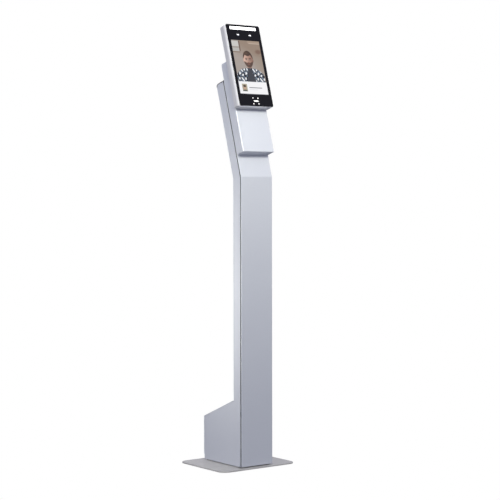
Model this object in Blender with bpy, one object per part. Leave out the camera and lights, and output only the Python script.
"""Check-in kiosk on a floor stand: base plate, folded steel column with a leaning neck,
a lockable cable compartment at the foot, a carrier box and a face-recognition terminal.

Metres, +Z up, the front faces -Y. The origin is on the floor under the plate's centre.
In the leaning frame (x, n, s): s runs up the neck from the bend and n runs outwards
from the plane of the neck's front face. Blender's local Y there is -n.
"""

import math

import bmesh
import bpy
from mathutils import Vector

# ---- Driving dimensions, in metres -------------------------------------------------

GAP = 0.0003  # between pieces that touch
SHEET = 0.0015  # folded steel of the body
COVER_SHEET = 0.002  # front cover

PLATE_WIDTH = 0.290
PLATE_DEPTH = 0.243
PLATE_THICKNESS = 0.004
PLATE_CORNER = 0.026
PAD_RADIUS = 0.014
PAD_THICKNESS = 0.0015
PAD_INSET = 0.026
PAD_CHAMFER = 0.0005
FOOT_REVEAL = 0.003  # shadow gap between the plate and the body

COLUMN_WIDTH = 0.122
COLUMN_DEPTH = 0.043
FRONT_Y = -0.105
BEND_HEIGHT = 0.9224
LEAN = math.radians(16.5)
NECK_LENGTH = 0.3185
NECK_CORNER = 0.009
CAP_THICKNESS = 0.0022
SEAM = 0.0050  # dark seam between side panels and front cover
COVER_FLANGE = 0.012
COVER_FLANGE_INSET = 0.006  # from the side panels, so that the seam stays dark
TIE_HEIGHTS = (("lower", 0.400), ("upper", 0.800))
TIE_LIP = 0.012
CABLE_SLOT = (0.044, 0.016)

COMPARTMENT_DEPTH = 0.205
SLOPE_TOP = 0.216
SLOPE_BOTTOM = 0.148
LID_GAP = 0.0005
LID_BOTTOM = 0.024
LID_LIP = 0.010
LID_RETURN = 0.012
LID_RETURN_START = 0.030

KNUCKLE_RADIUS = 0.0022
PIN_RADIUS = 0.001
PIN_PLAY = 0.0001
KNUCKLES = 5
HINGE_END_GAP = 0.002
LEAF_THICKNESS = 0.001
LEAF_WIDTH = 0.018

LOCK_HEIGHT = 0.060
LOCK_RADIUS = 0.006
LOCK_HEAD_RADIUS = 0.009
LOCK_HEAD_HEIGHT = 0.0015
LOCK_HEAD_CHAMFER = 0.0006
LOCK_DEPTH = 0.020
LOCK_PLUG_RADIUS = 0.004
LOCK_CAM_REACH = 0.026
LOCK_CAM_WIDTH = 0.009
LOCK_CAM_THICKNESS = 0.002
POST_TOP = 0.050
POST_WIDTH = 0.030
POST_FOOT = 0.022
NUT_RADIUS = 0.0095
NUT_HEIGHT = 0.004
KEYWAY = (0.0010, 0.016, 0.0054)
CAM_SCREW_HEAD = (0.0036, 0.0024)
CAM_SCREW_RADIUS = 0.0019

BRACKET_SHEET = 0.003
BRACKET_FLANGE_HEIGHT = 0.040
BRACKET_FRONT = -0.086
BRACKET_SETBACK = 0.015  # from the lid's rear face
BOLT_RADIUS = 0.003
BOLT_HEAD_RADIUS = 0.006
BOLT_PLAY = 0.0004
BOLT_STAND = 0.004
BOLT_X = 0.042
BOLT_YS = (-0.076, 0.050)

SERVICE_SHEET = 0.002
SERVICE_Y = 0.002  # rear face of the upright plate
SERVICE_WIDTH = 0.104
SERVICE_TOP = 0.158
SERVICE_FOOT = 0.030
PSU_SIZE = (0.082, 0.030, 0.099)
PSU_BOTTOM = 0.054
BLOCK_SIZE = (0.050, 0.018, 0.012)
INLET_X = -0.022
INLET_Z = 0.036
INLET_FLANGE = (0.056, 0.003, 0.032)
INLET_BODY = (0.046, 0.022, 0.026)
SOCKET_SIZE = (0.024, 0.015, 0.016)
SOCKET_OFFSET = -0.009
ROCKER_SIZE = (0.0108, 0.007, 0.0188)
ROCKER_OFFSET = 0.0145
ROCKER_ANGLE = math.radians(8.0)
ROCKER_WELL = (0.0118, 0.024, 0.0204)
ROCKER_PIVOT = 0.001  # below the flange's face
ROCKER_RISE = 0.0016
ROCKER_TAPER = 0.55
COUPLER_X = 0.032
COUPLER_Z = 0.036
COUPLER_FLANGE = (0.022, 0.002, 0.028)
COUPLER_BODY = (0.016, 0.028, 0.018)
JACK_SIZE = (0.0118, 0.014, 0.0080)
STUD_X = 0.046
STUD_Z = 0.128
STUD_RADIUS = 0.0025
STUD_LENGTH = 0.010
STUD_HEAD = (0.0045, 0.003)

CARRIER_START = 0.0715
CARRIER_END = 0.3712
CARRIER_DEPTH = 0.0332
CARRIER_CORNER = 0.006
CARRIER_PLATE = 0.002
CARRIER_SCREWS = (0.120, 0.290)
CARRIER_SCREW_RADIUS = 0.0025
CARRIER_SCREW_HEAD = (0.0045, 0.003)
CARRIER_SCREW_LENGTH = 0.009
SCREW_PLAY = 0.0004
GROMMET_HOLE = 0.011
GROMMET_BORE = 0.0085
GROMMET_LIP = 0.002
GROMMET_STAND = 0.0015
NECK_HOLE = 0.215
TERMINAL_HOLE = 0.300

TERMINAL_WIDTH = 0.1335
TERMINAL_LENGTH = 0.2728
TERMINAL_DEPTH = 0.0308
TERMINAL_START = 0.2106
TERMINAL_CORNER = 0.006
TERMINAL_WALL = 0.003
TERMINAL_REAR = 0.004
TERMINAL_REAR_ROUND = 0.003
TERMINAL_FRONT_ROUND = (0.0012, 0.0045)
GLASS_THICKNESS = 0.002
GLASS_CORNER = 0.004
BRACKET_SIZE = (0.084, 0.0018, 0.126)
BRACKET_START = 0.237
BRACKET_RECESS = 0.0026
RECESS_PLAY = 0.001
BRACKET_SCREWS = (0.262, 0.338)
BRACKET_SCREW_X = -0.028
BRACKET_SCREW_RADIUS = 0.0020
BRACKET_SCREW_HEAD = (0.0038, 0.0028)
DISPLAY_SIZE = (0.1125, 0.005, 0.183)
PICTURE_START = 0.0366  # above the terminal's lower edge
PICTURE_LENGTH = 0.181
LED_SIZE = (0.104, 0.004, 0.012)
LED_BOARD = (0.104, 0.0016, 0.012)
LED_DROP = 0.0115
CAMERA_X = 0.0234
CAMERA_DROP = 0.0345
CAMERA_NOSE = (0.005, 0.006)
CAMERA_BODY = (0.0065, 0.012)
CAMERA_PLATE = (0.080, 0.0016, 0.022)
BOARD_SIZE = (0.110, 0.0016, 0.170)
BOARD_START = 0.040
BOARD_STANDOFF = 0.006
ANTENNA_SIZE = (0.070, 0.0012, 0.030)
ANTENNA_MIDDLE = 0.0195
SPEAKER_SIZE = (0.028, 0.007, 0.016)
SPEAKER_X = -0.040
SPEAKER_MIDDLE = 0.020
RESET_X = 0.034
RESET_RADIUS = 0.002
RESET_DEPTH = 0.016  # behind the glass front
RESET_RECESS = 0.0006
RESET_COLLAR = 0.0012
RESET_LENGTH = 0.005  # above the wall

MAINS_RADIUS = 0.0032
EARTH_RADIUS = 0.0016
DC_RADIUS = 0.0025
NETWORK_RADIUS = 0.0029

ROUND_STEPS = 20  # sides of a small round piece
SCREW_STEPS = 12
ARC_STEPS = 5  # chords in a quarter round
REAR_STEPS = 3
SPAN_STEPS = 24  # steps between two points of a lead's route
CUT = 0.01  # how far a cutter runs past the face it opens

# ---- Values worked out from them ---------------------------------------------------

PLATE_TOP = PAD_THICKNESS + PLATE_THICKNESS
BODY_BOTTOM = PLATE_TOP + FOOT_REVEAL
BACK_Y = FRONT_Y + COLUMN_DEPTH
REAR_Y = FRONT_Y + COMPARTMENT_DEPTH
BRACKET_REAR = REAR_Y - BRACKET_SETBACK
HALF_WIDTH = COLUMN_WIDTH / 2
INNER_HALF = HALF_WIDTH - SHEET
CAP_START = NECK_LENGTH - CAP_THICKNESS - GAP
FLOOR_BOTTOM = PLATE_TOP + GAP
FLOOR_TOP = FLOOR_BOTTOM + BRACKET_SHEET
HINGE = Vector((0.0, BACK_Y, SLOPE_TOP))
HINGE_REACH = KNUCKLE_RADIUS + LID_GAP  # from the hinge axis to the sheets' ends
LOCK_AXIS = Vector((0.0, REAR_Y, LOCK_HEIGHT))
CARRIER_FRONT = GAP + CARRIER_DEPTH
TERMINAL_BACK = CARRIER_FRONT + GAP
TERMINAL_FACE = TERMINAL_BACK + TERMINAL_DEPTH
TERMINAL_END = TERMINAL_START + TERMINAL_LENGTH
GLASS_BACK = TERMINAL_FACE - GLASS_THICKNESS
GLASS_HALF = TERMINAL_WIDTH / 2 - TERMINAL_FRONT_ROUND[0]
INSIDE_BACK = TERMINAL_BACK + TERMINAL_REAR


# ---- Small tools -------------------------------------------------------------------


def clear_scene():
    for obj in list(bpy.data.objects):
        bpy.data.objects.remove(obj, do_unlink=True)


def linear(channel):
    if channel <= 0.04045:
        return channel / 12.92
    return ((channel + 0.055) / 1.055) ** 2.4


def material(name, hex_colour, roughness, metallic=0.0):
    """A Principled material from an sRGB hex colour."""
    made = bpy.data.materials.new(name)
    made.use_nodes = True
    shader = made.node_tree.nodes["Principled BSDF"]
    parts = [int(hex_colour[i : i + 2], 16) / 255 for i in (0, 2, 4)]
    colour = [linear(part) for part in parts] + [1.0]
    shader.inputs["Base Color"].default_value = colour
    shader.inputs["Roughness"].default_value = roughness
    shader.inputs["Metallic"].default_value = metallic
    made.diffuse_color = colour
    return made


def place(name, mesh, finish, parent=None, origin=(0, 0, 0)):
    """Makes the mesh an object with its origin at a point of its parent's frame."""
    obj = bpy.data.objects.new(name, mesh)
    bpy.context.scene.collection.objects.link(obj)
    obj.location = origin
    obj.parent = parent
    if finish is None:
        obj.hide_render = True
        obj.display_type = "WIRE"
    else:
        mesh.materials.append(finish)
    return obj


def frame_empty(name, location, rotation=(0, 0, 0), parent=None):
    empty = bpy.data.objects.new(name, None)
    bpy.context.scene.collection.objects.link(empty)
    empty.location = location
    empty.rotation_euler = rotation
    empty.parent = parent
    return empty


def to_mesh(bm, name, smooth=False):
    bmesh.ops.recalc_face_normals(bm, faces=bm.faces)
    mesh = bpy.data.meshes.new(name)
    bm.to_mesh(mesh)
    bm.free()
    if smooth:
        mesh.shade_smooth()
        mesh.set_sharp_from_angle(angle=math.radians(35))
    return mesh


def loft_mesh(name, rings, smooth=False):
    """Joins rings of equal length with quads and caps both ends."""
    bm = bmesh.new()
    made = [[bm.verts.new(point) for point in ring] for ring in rings]
    for low, high in zip(made, made[1:]):
        for i in range(len(low)):
            j = (i + 1) % len(low)
            bm.faces.new((low[i], low[j], high[j], high[i]))
    bm.faces.new(list(reversed(made[0])))
    bm.faces.new(made[-1])
    return to_mesh(bm, name, smooth)


def box_mesh(name, low, high):
    corners = ((0, 0), (1, 0), (1, 1), (0, 1))
    rings = []
    for z in (low[2], high[2]):
        rings.append([((low[0], high[0])[i], (low[1], high[1])[j], z) for i, j in corners])
    return loft_mesh(name, rings)


def centred_box(name, size, centre):
    low = [c - s / 2 for c, s in zip(centre, size)]
    high = [c + s / 2 for c, s in zip(centre, size)]
    return box_mesh(name, low, high)


def prism_mesh(name, outline, x_low, x_high):
    """A (y, z) outline carried along X."""
    rings = [[(x, y, z) for y, z in outline] for x in (x_low, x_high)]
    return loft_mesh(name, rings)


def turned_mesh(name, profile, axis, centre=(0, 0, 0), steps=ROUND_STEPS):
    """Turns (radius, height) points about an axis through the centre."""
    axis = Vector(axis).normalized()
    side = axis.orthogonal().normalized()
    other = axis.cross(side)
    centre = Vector(centre)
    angles = [math.tau * k / steps for k in range(steps)]
    rings = []
    for radius, height in profile:
        rings.append(
            [
                centre + axis * height + radius * (side * math.cos(a) + other * math.sin(a))
                for a in angles
            ]
        )
    return loft_mesh(name, rings, smooth=True)


def rounded_rectangle(half_w, half_h, radius, steps=ARC_STEPS):
    """Corner points of a rectangle with round corners, anticlockwise about its centre."""
    points = []
    corners = ((1, 1), (-1, 1), (-1, -1), (1, -1))
    for quarter, (sx, sy) in enumerate(corners):
        for k in range(steps + 1):
            angle = math.pi / 2 * (quarter + k / steps)
            x = sx * (half_w - radius) + radius * math.cos(angle)
            y = sy * (half_h - radius) + radius * math.sin(angle)
            points.append((x, y))
    return points


def boolean(target, mesh_or_object, operation="DIFFERENCE", parent=None, origin=(0, 0, 0)):
    """Cuts a hidden solid from the target, or joins one to it."""
    if isinstance(mesh_or_object, bpy.types.Object):
        other = mesh_or_object
    else:
        name = target.name + "_" + operation.lower()
        other = place(name, mesh_or_object, None, parent, origin)
    modifier = target.modifiers.new(operation.title(), "BOOLEAN")
    modifier.operation = operation
    modifier.object = other
    return other


def neck(s, n):
    """World (y, z) of a point s up the neck and n out of its front plane."""
    y = FRONT_Y + s * math.sin(LEAN) - n * math.cos(LEAN)
    z = BEND_HEIGHT + s * math.cos(LEAN) + n * math.sin(LEAN)
    return (y, z)


def neck_point(x, s, n):
    y, z = neck(s, n)
    return (x, y, z)


def bent_line(inset, start_z, end_s):
    """The front plane's line moved in by an inset: column, bend and neck."""
    bend = inset * math.tan(LEAN / 2)
    return [(FRONT_Y + inset, start_z), neck(bend, -inset), neck(end_s, -inset)]


def offset_line(points, distance):
    """Moves an open line to its right by a distance, with mitred corners."""
    moved = []
    for i, point in enumerate(points):
        here = Vector(point)
        before = (here - Vector(points[i - 1])).normalized() if i else None
        after = (Vector(points[i + 1]) - here).normalized() if i + 1 < len(points) else None
        before = before or after
        after = after or before
        normals = [Vector((d.y, -d.x)) for d in (before, after)]
        mitre = (normals[0] + normals[1]).normalized()
        moved.append(tuple(here + mitre * (distance / mitre.dot(normals[0]))))
    return moved


def slope_point(along, depth=0.0):
    """(y, z) on the lid's slope, measured from the hinge axis and down into the case."""
    run = Vector((REAR_Y - BACK_Y, SLOPE_BOTTOM - SLOPE_TOP)).normalized()
    inward = Vector((run.y, -run.x))
    return tuple(Vector((BACK_Y, SLOPE_TOP)) + run * along + inward * depth)


def rear_arc(radius, steps=ARC_STEPS):
    """Round rear corner of the neck's top, from the top face down to the back."""
    centre_s = NECK_LENGTH - NECK_CORNER
    centre_n = NECK_CORNER - COLUMN_DEPTH
    points = []
    for k in range(steps + 1):
        angle = math.pi / 2 * k / steps
        s = centre_s + radius * math.cos(angle)
        n = centre_n - radius * math.sin(angle)
        points.append(neck(s, n))
    return points


# ---- Base --------------------------------------------------------------------------


def make_base_plate(steel):
    outline = rounded_rectangle(PLATE_WIDTH / 2, PLATE_DEPTH / 2, PLATE_CORNER, 6)
    rings = [[(x, y, z) for x, y in outline] for z in (PAD_THICKNESS, PLATE_TOP)]
    plate = place("base_plate", loft_mesh("base_plate", rings), steel)
    head = BOLT_HEAD_RADIUS + BOLT_PLAY
    shank = BOLT_RADIUS + BOLT_PLAY
    profile = [
        (head, PAD_THICKNESS - CUT),
        (head, PAD_THICKNESS + 2 * GAP),
        (shank, PAD_THICKNESS + 2 * GAP + head - shank),
        (shank, PLATE_TOP + CUT),
    ]
    for x, y in bolt_places():
        boolean(plate, turned_mesh("sink", profile, (0, 0, 1), (x, y, 0)))
    return plate


def make_foot_pads(rubber):
    x = PLATE_WIDTH / 2 - PAD_INSET
    y = PLATE_DEPTH / 2 - PAD_INSET
    profile = [
        (PAD_RADIUS - PAD_CHAMFER, 0.0),
        (PAD_RADIUS, PAD_CHAMFER),
        (PAD_RADIUS, PAD_THICKNESS - GAP),
    ]
    for number, (sx, sy) in enumerate(((-1, -1), (1, -1), (1, 1), (-1, 1)), 1):
        mesh = turned_mesh("foot_pad", profile, (0, 0, 1))
        place(f"foot_pad_{number}", mesh, rubber, origin=(sx * x, sy * y, 0))


def bolt_places():
    return [(x, y) for y in BOLT_YS for x in (-BOLT_X, BOLT_X)]


def make_foot_bracket(steel):
    """Folded shoe: a floor on the plate, and a flange up each side panel."""
    outer = INNER_HALF - GAP
    low = (-outer, BRACKET_FRONT, FLOOR_BOTTOM)
    high = (outer, BRACKET_REAR, FLOOR_BOTTOM + BRACKET_FLANGE_HEIGHT)
    bracket = place("foot_bracket", box_mesh("foot_bracket", low, high), steel)
    inner = outer - BRACKET_SHEET
    low = (-inner, BRACKET_FRONT - CUT, FLOOR_TOP)
    high = (inner, BRACKET_REAR + CUT, high[2] + CUT)
    boolean(bracket, box_mesh("channel", low, high))
    hole = BOLT_RADIUS + BOLT_PLAY
    profile = [(hole, FLOOR_BOTTOM - CUT), (hole, FLOOR_TOP + CUT)]
    for x, y in bolt_places():
        boolean(bracket, turned_mesh("bolt_hole", profile, (0, 0, 1), (x, y, 0)))


def make_foot_bolts(steel):
    """Countersunk from below, with their ends standing clear of the shoe's floor."""
    start = PAD_THICKNESS + GAP
    profile = [
        (BOLT_HEAD_RADIUS, start),
        (BOLT_RADIUS, start + BOLT_HEAD_RADIUS - BOLT_RADIUS),
        (BOLT_RADIUS, FLOOR_TOP + BOLT_STAND),
    ]
    for number, (x, y) in enumerate(bolt_places(), 1):
        mesh = turned_mesh("foot_bolt", profile, (0, 0, 1))
        place(f"foot_bolt_{number}", mesh, steel, origin=(x, y, 0))


# ---- Column and neck ---------------------------------------------------------------


def side_outline():
    """Side panel: compartment cheek, column and neck, with its step under the end cap."""
    front = bent_line(COVER_SHEET + SEAM, BODY_BOTTOM, CAP_START)
    step = CAP_THICKNESS + GAP
    below_cap = NECK_LENGTH - NECK_CORNER - GAP
    lid_inset = SHEET + LID_GAP
    slope_start = slope_point(HINGE_REACH + KNUCKLE_RADIUS, lid_inset)
    knee = offset_line(lid_line(), lid_inset)[1]
    outline = front + rear_arc(NECK_CORNER - step)
    outline += [neck(below_cap, step - COLUMN_DEPTH), neck(below_cap, -COLUMN_DEPTH)]
    outline += [bent_line(COLUMN_DEPTH, 0, 0)[1]]
    outline += [(BACK_Y, slope_start[1]), slope_start, knee]
    outline += [(REAR_Y - lid_inset, BODY_BOTTOM)]
    return outline


def make_side_panels(paint):
    for name, side in (("left_side_panel", -1), ("right_side_panel", 1)):
        low, high = sorted((side * INNER_HALF, side * HALF_WIDTH))
        place(name, prism_mesh(name, side_outline(), low, high), paint)


def make_back_panel(paint):
    start = SLOPE_TOP + HINGE_REACH
    end = NECK_LENGTH - NECK_CORNER - GAP
    outer = bent_line(COLUMN_DEPTH, start, end)
    inner = bent_line(COLUMN_DEPTH - SHEET, start, end)
    half = INNER_HALF - GAP
    mesh = prism_mesh("back_panel", outer + inner[::-1], -half, half)
    place("back_panel", mesh, paint)


def make_front_cover(paint):
    """Bent front sheet with a stiffening flange behind it, a little inside each side panel."""
    face = bent_line(0, BODY_BOTTOM, CAP_START)
    inner = bent_line(COVER_SHEET, BODY_BOTTOM, CAP_START)
    mesh = prism_mesh("front_cover", face + inner[::-1], -HALF_WIDTH, HALF_WIDTH)
    cover = place("front_cover", mesh, paint)
    flange_end = CAP_START - COVER_SHEET
    near = bent_line(COVER_SHEET / 2, BODY_BOTTOM, flange_end)
    far = bent_line(COVER_SHEET + COVER_FLANGE, BODY_BOTTOM, flange_end)
    outer = INNER_HALF - COVER_FLANGE_INSET
    for side in (-1, 1):
        low, high = sorted((side * outer, side * (outer - SHEET)))
        boolean(cover, prism_mesh("flange", near + far[::-1], low, high), "UNION")
    axis = neck_axis()
    profile = [(GROMMET_HOLE, -CUT), (GROMMET_HOLE, CUT)]
    boolean(cover, turned_mesh("cable_hole", profile, axis, neck_point(0, NECK_HOLE, 0)))
    hole = CARRIER_SCREW_RADIUS + SCREW_PLAY
    profile = [(hole, -CUT), (hole, CUT)]
    for s in CARRIER_SCREWS:
        mesh = turned_mesh("screw_hole", profile, axis, neck_point(0, s, 0), SCREW_STEPS)
        boolean(cover, mesh)


def neck_axis():
    """Unit vector out of the neck's front face."""
    return Vector((0, -math.cos(LEAN), math.sin(LEAN)))


def make_neck_cap(plastic):
    """End cap: the neck's top face and its round rear corner in one shell."""
    outer = [neck(NECK_LENGTH, 0)] + rear_arc(NECK_CORNER)
    inner = rear_arc(NECK_CORNER - CAP_THICKNESS)[::-1] + [neck(CAP_START + GAP, 0)]
    mesh = prism_mesh("neck_cap", outer + inner, -HALF_WIDTH, HALF_WIDTH)
    place("neck_cap", mesh, plastic)


def make_tie_plates(steel):
    """Cross ties behind the cover's flanges, each with a slot for the two cables."""
    front = FRONT_Y + COVER_SHEET + COVER_FLANGE + LID_GAP
    back = BACK_Y - SHEET - GAP
    half = INNER_HALF - GAP
    for name, height in TIE_HEIGHTS:
        node = f"tie_plate_{name}"
        low = (-half, front, height)
        high = (half, back, height + TIE_LIP)
        tie = place(node, box_mesh(node, low, high), steel)
        inner = half - SERVICE_SHEET
        low = (-inner, front - CUT, height + SERVICE_SHEET)
        high = (inner, back + CUT, height + TIE_LIP + CUT)
        boolean(tie, box_mesh("tray", low, high))
        middle = (front + back) / 2
        size = (CABLE_SLOT[0], CABLE_SLOT[1], CUT)
        boolean(tie, centred_box("slot", size, (0, middle, height + SERVICE_SHEET / 2)))


# ---- Lid of the compartment, its hinge and its lock --------------------------------


def lid_line():
    """The lid's outer face from the hinge: slope, then rear face."""
    return [slope_point(HINGE_REACH), (REAR_Y, SLOPE_BOTTOM), (REAR_Y, LID_BOTTOM)]


def make_service_lid(paint, hinge_frame):
    outer = lid_line()
    inner = offset_line(outer, SHEET)
    mesh = local_prism("service_lid", outer + inner[::-1], -HALF_WIDTH, HALF_WIDTH)
    lid = place("service_lid", mesh, paint, hinge_frame)
    start = slope_point(LID_RETURN_START)
    returned = [start, outer[1], (REAR_Y, LID_BOTTOM)]
    near = offset_line(returned, SHEET / 2)
    far = offset_line(returned, SHEET + LID_RETURN)
    near[-1] = (near[-1][0], LID_BOTTOM + SHEET / 2)
    far[-1] = (far[-1][0], LID_BOTTOM + SHEET / 2)
    edge = INNER_HALF - LID_GAP
    for side in (-1, 1):
        low, high = sorted((side * edge, side * (edge - SHEET)))
        flange = local_prism("return", near + far[::-1], low, high)
        boolean(lid, flange, "UNION", hinge_frame)
    lip = [
        (REAR_Y - SHEET / 2, LID_BOTTOM),
        (REAR_Y - LID_LIP, LID_BOTTOM),
        (REAR_Y - LID_LIP, LID_BOTTOM + SHEET),
        (REAR_Y - SHEET / 2, LID_BOTTOM + SHEET),
    ]
    boolean(lid, local_prism("lip", lip, -edge, edge), "UNION", hinge_frame)
    centre = LOCK_AXIS - HINGE
    profile = [(LOCK_RADIUS + GAP, -CUT), (LOCK_RADIUS + GAP, CUT)]
    boolean(lid, turned_mesh("lock_hole", profile, (0, 1, 0), centre), parent=hinge_frame)


def local_prism(name, outline, x_low, x_high):
    """A prism in the hinge's own frame, from world (y, z) points."""
    moved = [(y - HINGE.y, z - HINGE.z) for y, z in outline]
    return prism_mesh(name, moved, x_low, x_high)


def knuckle_spans(kept):
    """X ranges of every second knuckle, starting with the first or the second one."""
    half = INNER_HALF - HINGE_END_GAP
    pitch = 2 * half / KNUCKLES
    spans = []
    for number in range(kept, KNUCKLES, 2):
        low = -half + number * pitch + GAP
        spans.append((low, low + pitch - 2 * GAP))
    return spans


def make_leaf(name, outline, kept, steel, hinge_frame):
    """A hinge leaf: flat strip, knuckles rolled from its edge, and gaps beside them."""
    half = INNER_HALF - HINGE_END_GAP
    leaf = place(name, prism_mesh(name, outline, -half, half), steel, hinge_frame)
    for low, high in knuckle_spans(1 - kept):
        reach = HINGE_REACH + GAP
        size = (high - low + 4 * GAP, 2 * reach, 2 * reach)
        relief = centred_box("relief", size, ((low + high) / 2, 0, 0))
        boolean(leaf, relief, parent=hinge_frame)
    for low, high in knuckle_spans(kept):
        ring = turned_mesh("knuckle", [(KNUCKLE_RADIUS, low), (KNUCKLE_RADIUS, high)], (1, 0, 0))
        boolean(leaf, ring, "UNION", hinge_frame)
    hole = PIN_RADIUS + PIN_PLAY
    bore = [(hole, -half - CUT), (hole, half + CUT)]
    boolean(leaf, turned_mesh("bore", bore, (1, 0, 0)), parent=hinge_frame)


def make_hinge(steel, fixed_frame, hinge_frame):
    inside = -(SHEET + GAP)
    start = LEAF_THICKNESS / 2
    outline = [
        (inside, start),
        (inside, LEAF_WIDTH),
        (inside - LEAF_THICKNESS, LEAF_WIDTH),
        (inside - LEAF_THICKNESS, start),
    ]
    make_leaf("hinge_leaf_fixed", outline, 0, steel, fixed_frame)
    depth = SHEET + GAP
    line = [slope_point(start, depth), slope_point(LEAF_WIDTH, depth)]
    line += [slope_point(LEAF_WIDTH, depth + LEAF_THICKNESS)]
    line += [slope_point(start, depth + LEAF_THICKNESS)]
    outline = [(y - HINGE.y, z - HINGE.z) for y, z in line]
    make_leaf("hinge_leaf_lid", outline, 1, steel, hinge_frame)
    half = INNER_HALF - HINGE_END_GAP
    pin = [(PIN_RADIUS, -half), (PIN_RADIUS, half)]
    place("hinge_pin", turned_mesh("hinge_pin", pin, (1, 0, 0), steps=16), steel, fixed_frame)


def make_lock(chrome, brass, steel, hinge_frame):
    """Cam lock: its body and nut ride on the lid, its plug, cam and screw turn."""
    centre = LOCK_AXIS - HINGE
    lock_frame = frame_empty("lock_axis", centre, parent=hinge_frame)
    back = (0, 1, 0)
    head = LOCK_HEAD_HEIGHT
    chamfer = LOCK_HEAD_CHAMFER
    bore = LOCK_PLUG_RADIUS + PIN_PLAY
    body = [
        (LOCK_RADIUS, -LOCK_DEPTH),
        (LOCK_RADIUS, GAP),
        (LOCK_HEAD_RADIUS, GAP),
        (LOCK_HEAD_RADIUS, head - chamfer),
        (LOCK_HEAD_RADIUS - chamfer, head),
    ]
    lock_body = place("lock_body", turned_mesh("lock_body", body, back), chrome, lock_frame)
    cut = turned_mesh("bore", [(bore, -LOCK_DEPTH - CUT), (bore, CUT)], back)
    boolean(lock_body, cut, parent=lock_frame)
    start = -(SHEET + GAP)
    profile = [(NUT_RADIUS, start - NUT_HEIGHT), (NUT_RADIUS, start)]
    nut = turned_mesh("lock_nut", profile, back, steps=6)
    lock_nut = place("lock_nut", nut, brass, lock_frame)
    hole = turned_mesh("hole", [(LOCK_RADIUS + GAP, -2 * CUT), (LOCK_RADIUS + GAP, CUT)], back)
    boolean(lock_nut, hole, parent=lock_frame)
    end = -LOCK_DEPTH - LOCK_HEAD_HEIGHT
    plug = [(LOCK_PLUG_RADIUS, end), (LOCK_PLUG_RADIUS, head - GAP)]
    lock_plug = place("lock_plug", turned_mesh("lock_plug", plug, back), chrome, lock_frame)
    keyway = centred_box("keyway", KEYWAY, (0, head, 0))
    boolean(lock_plug, keyway, parent=lock_frame)
    make_lock_cam(steel, lock_frame, end - GAP)


def make_lock_cam(steel, lock_frame, top):
    """Flat arm that points sideways when open and down behind the post when locked."""
    low = (-LOCK_CAM_REACH, top - LOCK_CAM_THICKNESS, -LOCK_CAM_WIDTH / 2)
    high = (LOCK_CAM_WIDTH / 2, top, LOCK_CAM_WIDTH / 2)
    cam = place("lock_cam", box_mesh("lock_cam", low, high), steel, lock_frame)
    radius = CAM_SCREW_RADIUS + GAP
    hole = [(radius, top - CUT), (radius, top + CUT)]
    boolean(cam, turned_mesh("hole", hole, (0, 1, 0), steps=SCREW_STEPS), parent=lock_frame)
    under = top - LOCK_CAM_THICKNESS - GAP
    head, height = CAM_SCREW_HEAD
    shank = CAM_SCREW_RADIUS
    screw = [(head, under - height), (head, under), (shank, under), (shank, top)]
    mesh = turned_mesh("lock_cam_screw", screw, (0, 1, 0), steps=SCREW_STEPS)
    place("lock_cam_screw", mesh, steel, lock_frame)


def make_lock_post(steel):
    """Angle on the shoe's floor; its upright is what the cam catches behind."""
    face = REAR_Y - LOCK_DEPTH + GAP
    bottom = FLOOR_TOP + GAP
    outline = [
        (face, bottom),
        (face, POST_TOP),
        (face - SERVICE_SHEET, POST_TOP),
        (face - SERVICE_SHEET, bottom + SERVICE_SHEET),
        (face - POST_FOOT, bottom + SERVICE_SHEET),
        (face - POST_FOOT, bottom),
    ]
    half = POST_WIDTH / 2
    place("lock_post", prism_mesh("lock_post", outline, -half, half), steel)


# ---- Electrics in the compartment --------------------------------------------------


def make_service_plate(steel):
    """Angle on the shoe's floor that carries the supply and the sockets."""
    bottom = FLOOR_TOP + GAP
    front = SERVICE_Y - SERVICE_SHEET
    outline = [
        (SERVICE_Y, bottom),
        (SERVICE_Y, SERVICE_TOP),
        (front, SERVICE_TOP),
        (front, bottom + SERVICE_SHEET),
        (front - SERVICE_FOOT, bottom + SERVICE_SHEET),
        (front - SERVICE_FOOT, bottom),
    ]
    half = SERVICE_WIDTH / 2
    plate = place("service_plate", prism_mesh("service_plate", outline, -half, half), steel)
    middle = SERVICE_Y - SERVICE_SHEET / 2
    for size, x, z in (
        (INLET_BODY, INLET_X, INLET_Z),
        (COUPLER_BODY, COUPLER_X, COUPLER_Z),
    ):
        window = (size[0] + 2 * GAP, CUT, size[2] + 2 * GAP)
        boolean(plate, centred_box("window", window, (x, middle, z)))
    hole = [(STUD_RADIUS + GAP, -CUT), (STUD_RADIUS + GAP, CUT)]
    centre = (STUD_X, middle, STUD_Z)
    boolean(plate, turned_mesh("stud_hole", hole, (0, 1, 0), centre, SCREW_STEPS))


def make_psu(aluminium, plastic):
    back = SERVICE_Y - SERVICE_SHEET - GAP
    centre = (0, back - PSU_SIZE[1] / 2, PSU_BOTTOM + PSU_SIZE[2] / 2)
    place("psu_case", centred_box("psu_case", PSU_SIZE, centre), aluminium)
    top = PSU_BOTTOM + PSU_SIZE[2] + GAP
    centre = (0, centre[1], top + BLOCK_SIZE[2] / 2)
    place("psu_terminal_block", centred_box("block", BLOCK_SIZE, centre), plastic)
    return centre


def socket_body(name, flange, body, x, z, hollow, hollow_x, plastic):
    """A flange behind the plate's rear face, a body through it and a socket in its face."""
    face = SERVICE_Y + GAP
    obj = place(name, centred_box(name, flange, (x, face + flange[1] / 2, z)), plastic)
    depth = body[1] + flange[1] / 2
    centre = (x, face + flange[1] / 2 - depth / 2, z)
    boolean(obj, centred_box("body", (body[0], depth, body[2]), centre), "UNION")
    front = face + flange[1]
    size = (hollow[0], 2 * hollow[1], hollow[2])
    boolean(obj, centred_box("socket", size, (hollow_x, front, z)))
    return obj


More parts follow.
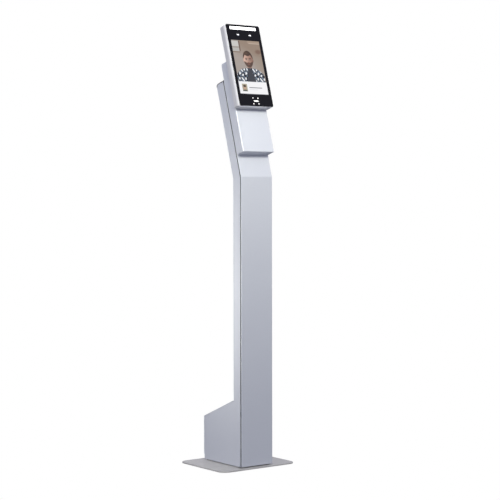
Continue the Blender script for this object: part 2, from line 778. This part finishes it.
def make_mains_inlet(plastic, rocker_plastic):
    socket_x = INLET_X + SOCKET_OFFSET
    inlet = socket_body(
        "mains_inlet", INLET_FLANGE, INLET_BODY, INLET_X, INLET_Z, SOCKET_SIZE, socket_x, plastic
    )
    rocker_x = INLET_X + ROCKER_OFFSET
    front = SERVICE_Y + GAP + INLET_FLANGE[1]
    boolean(inlet, centred_box("well", ROCKER_WELL, (rocker_x, front, INLET_Z)))
    pivot = frame_empty("rocker_axis", (rocker_x, front - ROCKER_PIVOT, INLET_Z))
    half_h = ROCKER_SIZE[2] / 2
    wing = ROCKER_RISE + half_h * math.tan(ROCKER_ANGLE)
    root = ROCKER_RISE - ROCKER_SIZE[1]
    outline = [
        (wing, -half_h),
        (ROCKER_RISE, 0.0),
        (wing, half_h),
        (root, half_h * ROCKER_TAPER),
        (root, -half_h * ROCKER_TAPER),
    ]
    turned = []
    for y, z in outline:
        turned.append(
            (
                y * math.cos(ROCKER_ANGLE) - z * math.sin(ROCKER_ANGLE),
                y * math.sin(ROCKER_ANGLE) + z * math.cos(ROCKER_ANGLE),
            )
        )
    half_w = ROCKER_SIZE[0] / 2
    mesh = prism_mesh("rocker_switch", turned, -half_w, half_w)
    place("rocker_switch", mesh, rocker_plastic, pivot)


def make_network_coupler(plastic):
    socket_body(
        "network_coupler",
        COUPLER_FLANGE,
        COUPLER_BODY,
        COUPLER_X,
        COUPLER_Z,
        JACK_SIZE,
        COUPLER_X,
        plastic,
    )


def make_earth_stud(brass):
    """Stud through the service plate with its head on the rear face."""
    head = SERVICE_Y + GAP
    nut = SERVICE_Y - SERVICE_SHEET - GAP
    radius, height = STUD_HEAD
    profile = [
        (STUD_RADIUS, nut - STUD_LENGTH),
        (STUD_RADIUS, head),
        (radius, head),
        (radius, head + height),
    ]
    mesh = turned_mesh("earth_stud", profile, (0, 1, 0), steps=SCREW_STEPS)
    place("earth_stud", mesh, brass, origin=(STUD_X, 0, STUD_Z))


# ---- Internal leads ----------------------------------------------------------------


def smooth_route(points, spacing):
    """Points on a Catmull-Rom curve through a route's own points: the straight stubs at
    both ends as they are, and an even spacing between them."""
    ends = [points[0]] + list(points) + [points[-1]]
    ends = [Vector(point) for point in ends]
    dense = []
    for a, b, c, d in zip(ends, ends[1:], ends[2:], ends[3:]):
        for k in range(SPAN_STEPS):
            t = k / SPAN_STEPS
            dense.append(
                0.5
                * (
                    2 * b
                    + (c - a) * t
                    + (2 * a - 5 * b + 4 * c - d) * t**2
                    + (3 * b - a - 3 * c + d) * t**3
                )
            )
    dense.append(ends[-1])
    kept = [dense[0], dense[SPAN_STEPS]]
    travelled = 0.0
    middle = dense[SPAN_STEPS:-SPAN_STEPS]
    for before, here in zip(middle, middle[1:]):
        travelled += (here - before).length
        if travelled >= spacing:
            kept.append(here)
            travelled = 0.0
    if travelled < spacing / 2:
        kept.pop()
    return kept + [dense[-1 - SPAN_STEPS], dense[-1]]


def make_lead(name, route, radius, spacing, finish):
    curve = bpy.data.curves.new(name, "CURVE")
    curve.dimensions = "3D"
    curve.bevel_depth = radius
    curve.bevel_resolution = 2
    curve.use_fill_caps = True
    points = smooth_route(route, spacing)
    spline = curve.splines.new("POLY")
    spline.points.add(len(points) - 1)
    for target, point in zip(spline.points, points):
        target.co = (*point, 1.0)
    obj = bpy.data.objects.new(name, curve)
    bpy.context.scene.collection.objects.link(obj)
    curve.materials.append(finish)
    return obj


def up_the_stand(x, column_y):
    """The run that both long cables share: column, neck and the two grommets."""
    column = [(x, column_y, z) for z in (0.34, 0.42, 0.55, 0.68, 0.81, 0.88)]
    depth = FRONT_Y - column_y
    x = x / 3
    run = [(0.030, depth), (0.100, depth), (0.155, depth), (0.190, -0.020)]
    run += [(NECK_HOLE - 0.006, -0.011), (NECK_HOLE, -0.003), (NECK_HOLE + 0.001, 0.005)]
    run += [(NECK_HOLE + 0.009, 0.013), (0.252, 0.0175), (0.280, 0.0185)]
    run += [(TERMINAL_HOLE - 0.005, 0.0235), (TERMINAL_HOLE, 0.031), (TERMINAL_HOLE, 0.045)]
    return column + [neck_point(x, s, n) for s, n in run]


def make_leads(block_centre, black, green, grey):
    block_x = BLOCK_SIZE[0] / 2 + GAP
    block_z = block_centre[2]
    block_y = block_centre[1]
    inlet_front = SERVICE_Y + GAP - INLET_BODY[1] - GAP
    route = [
        (INLET_X - 0.008, inlet_front, INLET_Z),
        (INLET_X - 0.008, inlet_front - 0.008, INLET_Z),
        (-0.042, -0.040, 0.052),
        (-0.0505, -0.030, 0.080),
        (-0.0505, -0.022, 0.120),
        (-0.0500, -0.018, 0.150),
        (-0.043, block_y, block_z - 0.002),
        (-0.034, block_y, block_z),
        (-block_x, block_y, block_z),
    ]
    make_lead("mains_lead", route, MAINS_RADIUS, 0.0075, black)
    route = [
        (block_x, block_y, block_z),
        (0.034, block_y, block_z),
        (0.0445, -0.0130, block_z - 0.002),
        (0.0475, -0.0095, 0.147),
        (0.0465, -0.0085, STUD_Z + STUD_RADIUS + EARTH_RADIUS + GAP),
    ]
    make_lead("earth_lead", route, EARTH_RADIUS, 0.005, green)
    route = [
        (0.006, block_y, block_z + BLOCK_SIZE[2] / 2 + GAP),
        (0.006, block_y, block_z + 0.012),
        (0.004, -0.027, 0.179),
        (-0.003, -0.050, 0.188),
        (-0.009, -0.072, 0.212),
        (-0.010, -0.078, 0.260),
    ]
    make_lead("dc_cable", route + up_the_stand(-0.010, -0.078), DC_RADIUS, 0.0165, black)
    coupler_front = SERVICE_Y + GAP - COUPLER_BODY[1] - GAP
    route = [
        (COUPLER_X, coupler_front, COUPLER_Z),
        (COUPLER_X, coupler_front - 0.009, COUPLER_Z),
        (0.045, -0.050, 0.058),
        (0.049, -0.052, 0.100),
        (0.045, -0.058, 0.150),
        (0.030, -0.070, 0.212),
        (0.014, -0.076, 0.265),
    ]
    route += up_the_stand(0.010, -0.078)
    make_lead("network_cable", route, NETWORK_RADIUS, 0.0175, grey)


# ---- Carrier on the neck (leaning frame) --------------------------------------------


def leaning_prism(name, outline, x_low, x_high):
    """An (n, s) outline carried along X in the leaning frame."""
    return prism_mesh(name, [(-n, s) for n, s in outline], x_low, x_high)


def leaning_box(name, x_span, n_span, s_span):
    low = (x_span[0], -n_span[1], s_span[0])
    high = (x_span[1], -n_span[0], s_span[1])
    return box_mesh(name, low, high)


def through_hole(target, frame, radius, x, s, n_low, n_high, steps=ROUND_STEPS):
    """A round hole along the leaning frame's front direction."""
    profile = [(radius, n_low), (radius, n_high)]
    cutter = turned_mesh("hole", profile, (0, -1, 0), (x, 0, s), steps)
    boolean(target, cutter, parent=frame)


def carrier_outline(wall):
    """Side view of the carrier cover, open at the back, with its round upper rear edge."""
    start = CARRIER_START + wall
    end = CARRIER_END - wall
    front = CARRIER_FRONT - wall
    back = -CUT if wall else GAP
    centre_n = GAP + CARRIER_CORNER
    centre_s = CARRIER_END - CARRIER_CORNER
    outline = [(back, start), (front, start), (front, end)]
    for k in range(ARC_STEPS + 1):
        angle = math.pi / 2 * k / ARC_STEPS
        radius = CARRIER_CORNER - wall
        outline.append((centre_n - radius * math.sin(angle), centre_s + radius * math.cos(angle)))
    if wall:
        outline.append((back, centre_s))
    return outline


def make_carrier(paint, steel, rubber, frame):
    half = INNER_HALF - GAP
    start = CARRIER_START + SHEET + GAP
    end = CARRIER_END - CARRIER_CORNER - GAP
    back = GAP + CARRIER_PLATE
    mesh = leaning_box("carrier_plate", (-half, half), (GAP, back), (start, end))
    plate = place("carrier_plate", mesh, paint, frame)
    through_hole(plate, frame, GROMMET_HOLE, 0, NECK_HOLE, -CUT, CUT)
    hole = CARRIER_SCREW_RADIUS + SCREW_PLAY
    for s in CARRIER_SCREWS:
        through_hole(plate, frame, hole, 0, s, -CUT, CUT, SCREW_STEPS)

    mesh = leaning_prism("carrier_cover", carrier_outline(0), -HALF_WIDTH, HALF_WIDTH)
    cover = place("carrier_cover", mesh, paint, frame)
    inside = leaning_prism("inside", carrier_outline(SHEET), -INNER_HALF, INNER_HALF)
    boolean(cover, inside, parent=frame)
    low, high = CARRIER_FRONT - CUT, CARRIER_FRONT + CUT
    through_hole(cover, frame, GROMMET_HOLE, 0, TERMINAL_HOLE, low, high)
    hole = BRACKET_SCREW_RADIUS + SCREW_PLAY
    for s in BRACKET_SCREWS:
        through_hole(cover, frame, hole, BRACKET_SCREW_X, s, low, high, SCREW_STEPS)

    lip = GROMMET_HOLE + GROMMET_LIP
    body = GROMMET_HOLE - GAP
    face = back + GAP
    profile = [
        (body, -COVER_SHEET - GROMMET_STAND),
        (body, face),
        (lip, face),
        (lip, face + GROMMET_STAND),
    ]
    make_grommet("neck_grommet", profile, NECK_HOLE, rubber, frame)
    inner_face = CARRIER_FRONT - SHEET - GAP
    profile = [
        (lip, inner_face - GROMMET_STAND),
        (lip, inner_face),
        (body, inner_face),
        (body, INSIDE_BACK + GROMMET_STAND),
    ]
    make_grommet("terminal_grommet", profile, TERMINAL_HOLE, rubber, frame)

    radius, height = CARRIER_SCREW_HEAD
    shank = CARRIER_SCREW_RADIUS
    profile = [
        (shank, -CARRIER_SCREW_LENGTH),
        (shank, face),
        (radius, face),
        (radius, face + height),
    ]
    for number, s in enumerate(CARRIER_SCREWS, 1):
        mesh = turned_mesh("carrier_screw", profile, (0, -1, 0), steps=SCREW_STEPS)
        place(f"carrier_screw_{number}", mesh, steel, frame, (0, 0, s))


def make_grommet(name, profile, s, rubber, frame):
    mesh = turned_mesh(name, profile, (0, -1, 0))
    grommet = place(name, mesh, rubber, frame, (0, 0, s))
    bore = [(GROMMET_BORE, -2 * CUT), (GROMMET_BORE, TERMINAL_FACE)]
    boolean(grommet, turned_mesh("bore", bore, (0, -1, 0)), parent=frame, origin=(0, 0, s))


def make_wall_bracket(steel, frame):
    near = TERMINAL_BACK
    far = near + BRACKET_SIZE[1]
    half = BRACKET_SIZE[0] / 2
    end = BRACKET_START + BRACKET_SIZE[2]
    mesh = leaning_box("wall_bracket", (-half, half), (near, far), (BRACKET_START, end))
    bracket = place("wall_bracket", mesh, steel, frame)
    low, high = near - CUT, far + CUT
    through_hole(bracket, frame, GROMMET_HOLE, 0, TERMINAL_HOLE, low, high)
    hole = BRACKET_SCREW_RADIUS + SCREW_PLAY
    head = CARRIER_FRONT - SHEET - GAP
    radius, height = BRACKET_SCREW_HEAD
    shank = BRACKET_SCREW_RADIUS
    profile = [(radius, head - height), (radius, head), (shank, head), (shank, far)]
    for number, s in enumerate(BRACKET_SCREWS, 1):
        through_hole(bracket, frame, hole, BRACKET_SCREW_X, s, low, high, SCREW_STEPS)
        mesh = turned_mesh("bracket_screw", profile, (0, -1, 0), steps=SCREW_STEPS)
        place(f"bracket_screw_{number}", mesh, steel, frame, (BRACKET_SCREW_X, 0, s))


# ---- Terminal (leaning frame) -------------------------------------------------------


def terminal_ring(inset, n):
    half_w = TERMINAL_WIDTH / 2 - inset
    half_h = TERMINAL_LENGTH / 2 - inset
    middle = TERMINAL_START + TERMINAL_LENGTH / 2
    outline = rounded_rectangle(half_w, half_h, TERMINAL_CORNER)
    return [(x, -n, middle + s) for x, s in outline]


def make_terminal_housing(paint, frame):
    """Shallow tub with round rear edges, a sloped bright rim and a recess at the back."""
    rim_in, rim_deep = TERMINAL_FRONT_ROUND
    rear = TERMINAL_REAR_ROUND
    rings = []
    for k in range(REAR_STEPS + 1):
        angle = math.pi / 2 * k / REAR_STEPS
        inset = rear * (1 - math.sin(angle))
        rings.append(terminal_ring(inset, TERMINAL_BACK + rear * (1 - math.cos(angle))))
    rings.append(terminal_ring(0, TERMINAL_FACE - rim_deep))
    rings.append(terminal_ring(rim_in / 4, TERMINAL_FACE - rim_deep / 2))
    rings.append(terminal_ring(rim_in - GAP, TERMINAL_FACE))
    housing = place("terminal_housing", loft_mesh("terminal_housing", rings, True), paint, frame)
    half = TERMINAL_WIDTH / 2 - TERMINAL_WALL
    start = TERMINAL_START + TERMINAL_WALL
    end = TERMINAL_END - TERMINAL_WALL
    hollow = leaning_box("hollow", (-half, half), (INSIDE_BACK, TERMINAL_FACE), (start, end))
    boolean(housing, hollow, parent=frame)
    outline = glass_outline(GAP)
    rings = [[(x, -n, s) for x, s in outline] for n in (GLASS_BACK - GAP, TERMINAL_FACE + CUT)]
    boolean(housing, loft_mesh("glass_seat", rings), parent=frame)
    wide = BRACKET_SIZE[0] / 2 + RECESS_PLAY
    deep = (TERMINAL_BACK - CUT, TERMINAL_BACK + BRACKET_RECESS)
    long = (BRACKET_START - RECESS_PLAY, BRACKET_START + BRACKET_SIZE[2] + RECESS_PLAY)
    boolean(housing, leaning_box("recess", (-wide, wide), deep, long), parent=frame)
    deep = (TERMINAL_BACK - CUT, INSIDE_BACK + CUT)
    through_hole(housing, frame, GROMMET_HOLE, 0, TERMINAL_HOLE, *deep)
    hole = [(RESET_RADIUS + GAP, -CUT), (RESET_RADIUS + GAP, CUT)]
    centre = (RESET_X, -(TERMINAL_FACE - RESET_DEPTH), TERMINAL_START)
    mesh = turned_mesh("reset_hole", hole, (0, 0, 1), centre, SCREW_STEPS)
    boolean(housing, mesh, parent=frame)


def glass_outline(grow=0.0):
    half_w = GLASS_HALF + grow
    half_h = TERMINAL_LENGTH / 2 - TERMINAL_FRONT_ROUND[0] + grow
    middle = TERMINAL_START + TERMINAL_LENGTH / 2
    outline = rounded_rectangle(half_w - GAP, half_h - GAP, GLASS_CORNER)
    return [(x, middle + s) for x, s in outline]


def make_front_glass(glass, frame):
    outline = glass_outline(-GAP)
    rings = [[(x, -n, s) for x, s in outline] for n in (GLASS_BACK, TERMINAL_FACE)]
    place("front_glass", loft_mesh("front_glass", rings), glass, frame)


def inside_box(name, size, x, s_middle, front, finish, frame):
    """A box whose front face is at n = front."""
    span_x = (x - size[0] / 2, x + size[0] / 2)
    span_s = (s_middle - size[2] / 2, s_middle + size[2] / 2)
    mesh = leaning_box(name, span_x, (front - size[1], front), span_s)
    return place(name, mesh, finish, frame)


def make_terminal_insides(finishes, frame):
    behind_glass = GLASS_BACK - GAP
    middle = TERMINAL_START + PICTURE_START + PICTURE_LENGTH / 2
    screen = finishes["screen"]
    inside_box("display_panel", DISPLAY_SIZE, 0, middle, behind_glass, screen, frame)
    led_s = TERMINAL_END - LED_DROP
    inside_box("led_diffuser", LED_SIZE, 0, led_s, behind_glass, finishes["diffuser"], frame)
    led_back = behind_glass - LED_SIZE[1] - GAP
    inside_box("led_board", LED_BOARD, 0, led_s, led_back, finishes["board"], frame)

    camera_s = TERMINAL_END - CAMERA_DROP
    nose, nose_length = CAMERA_NOSE
    body, length = CAMERA_BODY
    profile = [
        (body, behind_glass - length),
        (body, behind_glass - nose_length),
        (nose, behind_glass - nose_length),
        (nose, behind_glass),
    ]
    for name, x in (("camera_left", -CAMERA_X), ("camera_right", CAMERA_X)):
        mesh = turned_mesh(name, profile, (0, -1, 0))
        place(name, mesh, finishes["lens"], frame, (x, 0, camera_s))
    back = behind_glass - length - GAP
    inside_box("camera_bracket", CAMERA_PLATE, 0, camera_s, back, finishes["steel"], frame)

    board_s = TERMINAL_START + BOARD_START + BOARD_SIZE[2] / 2
    front = INSIDE_BACK + BOARD_STANDOFF
    board = inside_box("main_board", BOARD_SIZE, 0, board_s, front, finishes["board"], frame)
    deep = (INSIDE_BACK, INSIDE_BACK + 2 * CUT)
    through_hole(board, frame, GROMMET_HOLE, 0, TERMINAL_HOLE, *deep)

    low_s = TERMINAL_START + ANTENNA_MIDDLE
    inside_box("reader_antenna", ANTENNA_SIZE, 0, low_s, behind_glass, finishes["board"], frame)
    low_s = TERMINAL_START + SPEAKER_MIDDLE
    front = INSIDE_BACK + GAP + SPEAKER_SIZE[1]
    inside_box("speaker", SPEAKER_SIZE, SPEAKER_X, low_s, front, finishes["plastic"], frame)


def make_reset_button(plastic, frame):
    """Recessed plunger in the terminal's underside; it moves up the neck's direction."""
    n = TERMINAL_FACE - RESET_DEPTH
    wall = TERMINAL_WALL
    collar = RESET_RADIUS + RESET_COLLAR
    stem = RESET_RADIUS - RESET_RECESS
    profile = [
        (RESET_RADIUS, RESET_RECESS),
        (RESET_RADIUS, wall + GAP),
        (collar, wall + GAP),
        (collar, wall + GAP + RESET_COLLAR),
        (stem, wall + GAP + RESET_COLLAR),
        (stem, wall + RESET_LENGTH),
    ]
    mesh = turned_mesh("reset_button", profile, (0, 0, 1), steps=SCREW_STEPS)
    place("reset_button", mesh, plastic, frame, (RESET_X, -n, TERMINAL_START))


# ---- The whole kiosk ---------------------------------------------------------------


def main():
    clear_scene()
    paint = material("silver_powder_coat", "C4C8D4", 0.42, 0.35)
    brushed = material("brushed_stainless", "B4B3B2", 0.38, 0.9)
    zinc = material("zinc_plated_steel", "9FA2A6", 0.45, 0.9)
    chrome = material("chrome", "D8DADC", 0.15, 1.0)
    brass = material("brass", "B99A55", 0.35, 1.0)
    aluminium = material("pressed_aluminium", "C2C4C6", 0.45, 0.9)
    black = material("black_plastic", "1B1C20", 0.5)
    rubber = material("black_rubber", "161616", 0.8)
    red = material("red_plastic", "8A1A16", 0.4)
    housing_paint = material("silver_housing", "D4D5DE", 0.4, 0.35)
    glass = material("black_glass", "0A0A0E", 0.08)
    green = material("green_yellow_lead", "5E8A2B", 0.5)
    grey = material("grey_lead", "8D9095", 0.5)
    insides = {
        "screen": material("screen", "B8A692", 0.3),
        "diffuser": material("opal_diffuser", "FFFFFF", 0.5),
        "board": material("circuit_board", "1E5A35", 0.5),
        "lens": material("lens_barrel", "121318", 0.2),
        "steel": zinc,
        "plastic": black,
    }

    make_base_plate(brushed)
    make_foot_pads(rubber)
    make_foot_bracket(zinc)
    make_foot_bolts(zinc)

    make_side_panels(paint)
    make_back_panel(paint)
    make_front_cover(paint)
    make_neck_cap(black)
    make_tie_plates(zinc)

    fixed_frame = frame_empty("hinge_fixed_axis", HINGE)
    hinge_frame = frame_empty("lid_hinge_axis", HINGE)
    make_service_lid(paint, hinge_frame)
    make_hinge(zinc, fixed_frame, hinge_frame)
    make_lock(chrome, brass, zinc, hinge_frame)
    make_lock_post(zinc)

    make_service_plate(zinc)
    block_centre = make_psu(aluminium, black)
    make_mains_inlet(black, red)
    make_network_coupler(black)
    make_earth_stud(brass)
    make_leads(block_centre, black, green, grey)

    bend = (0, FRONT_Y, BEND_HEIGHT)
    leaning = frame_empty("neck_frame", bend, (-LEAN, 0, 0))
    make_carrier(paint, zinc, rubber, leaning)
    make_wall_bracket(zinc, leaning)
    make_terminal_housing(housing_paint, leaning)
    make_front_glass(glass, leaning)
    make_terminal_insides(insides, leaning)
    make_reset_button(black, leaning)


main()
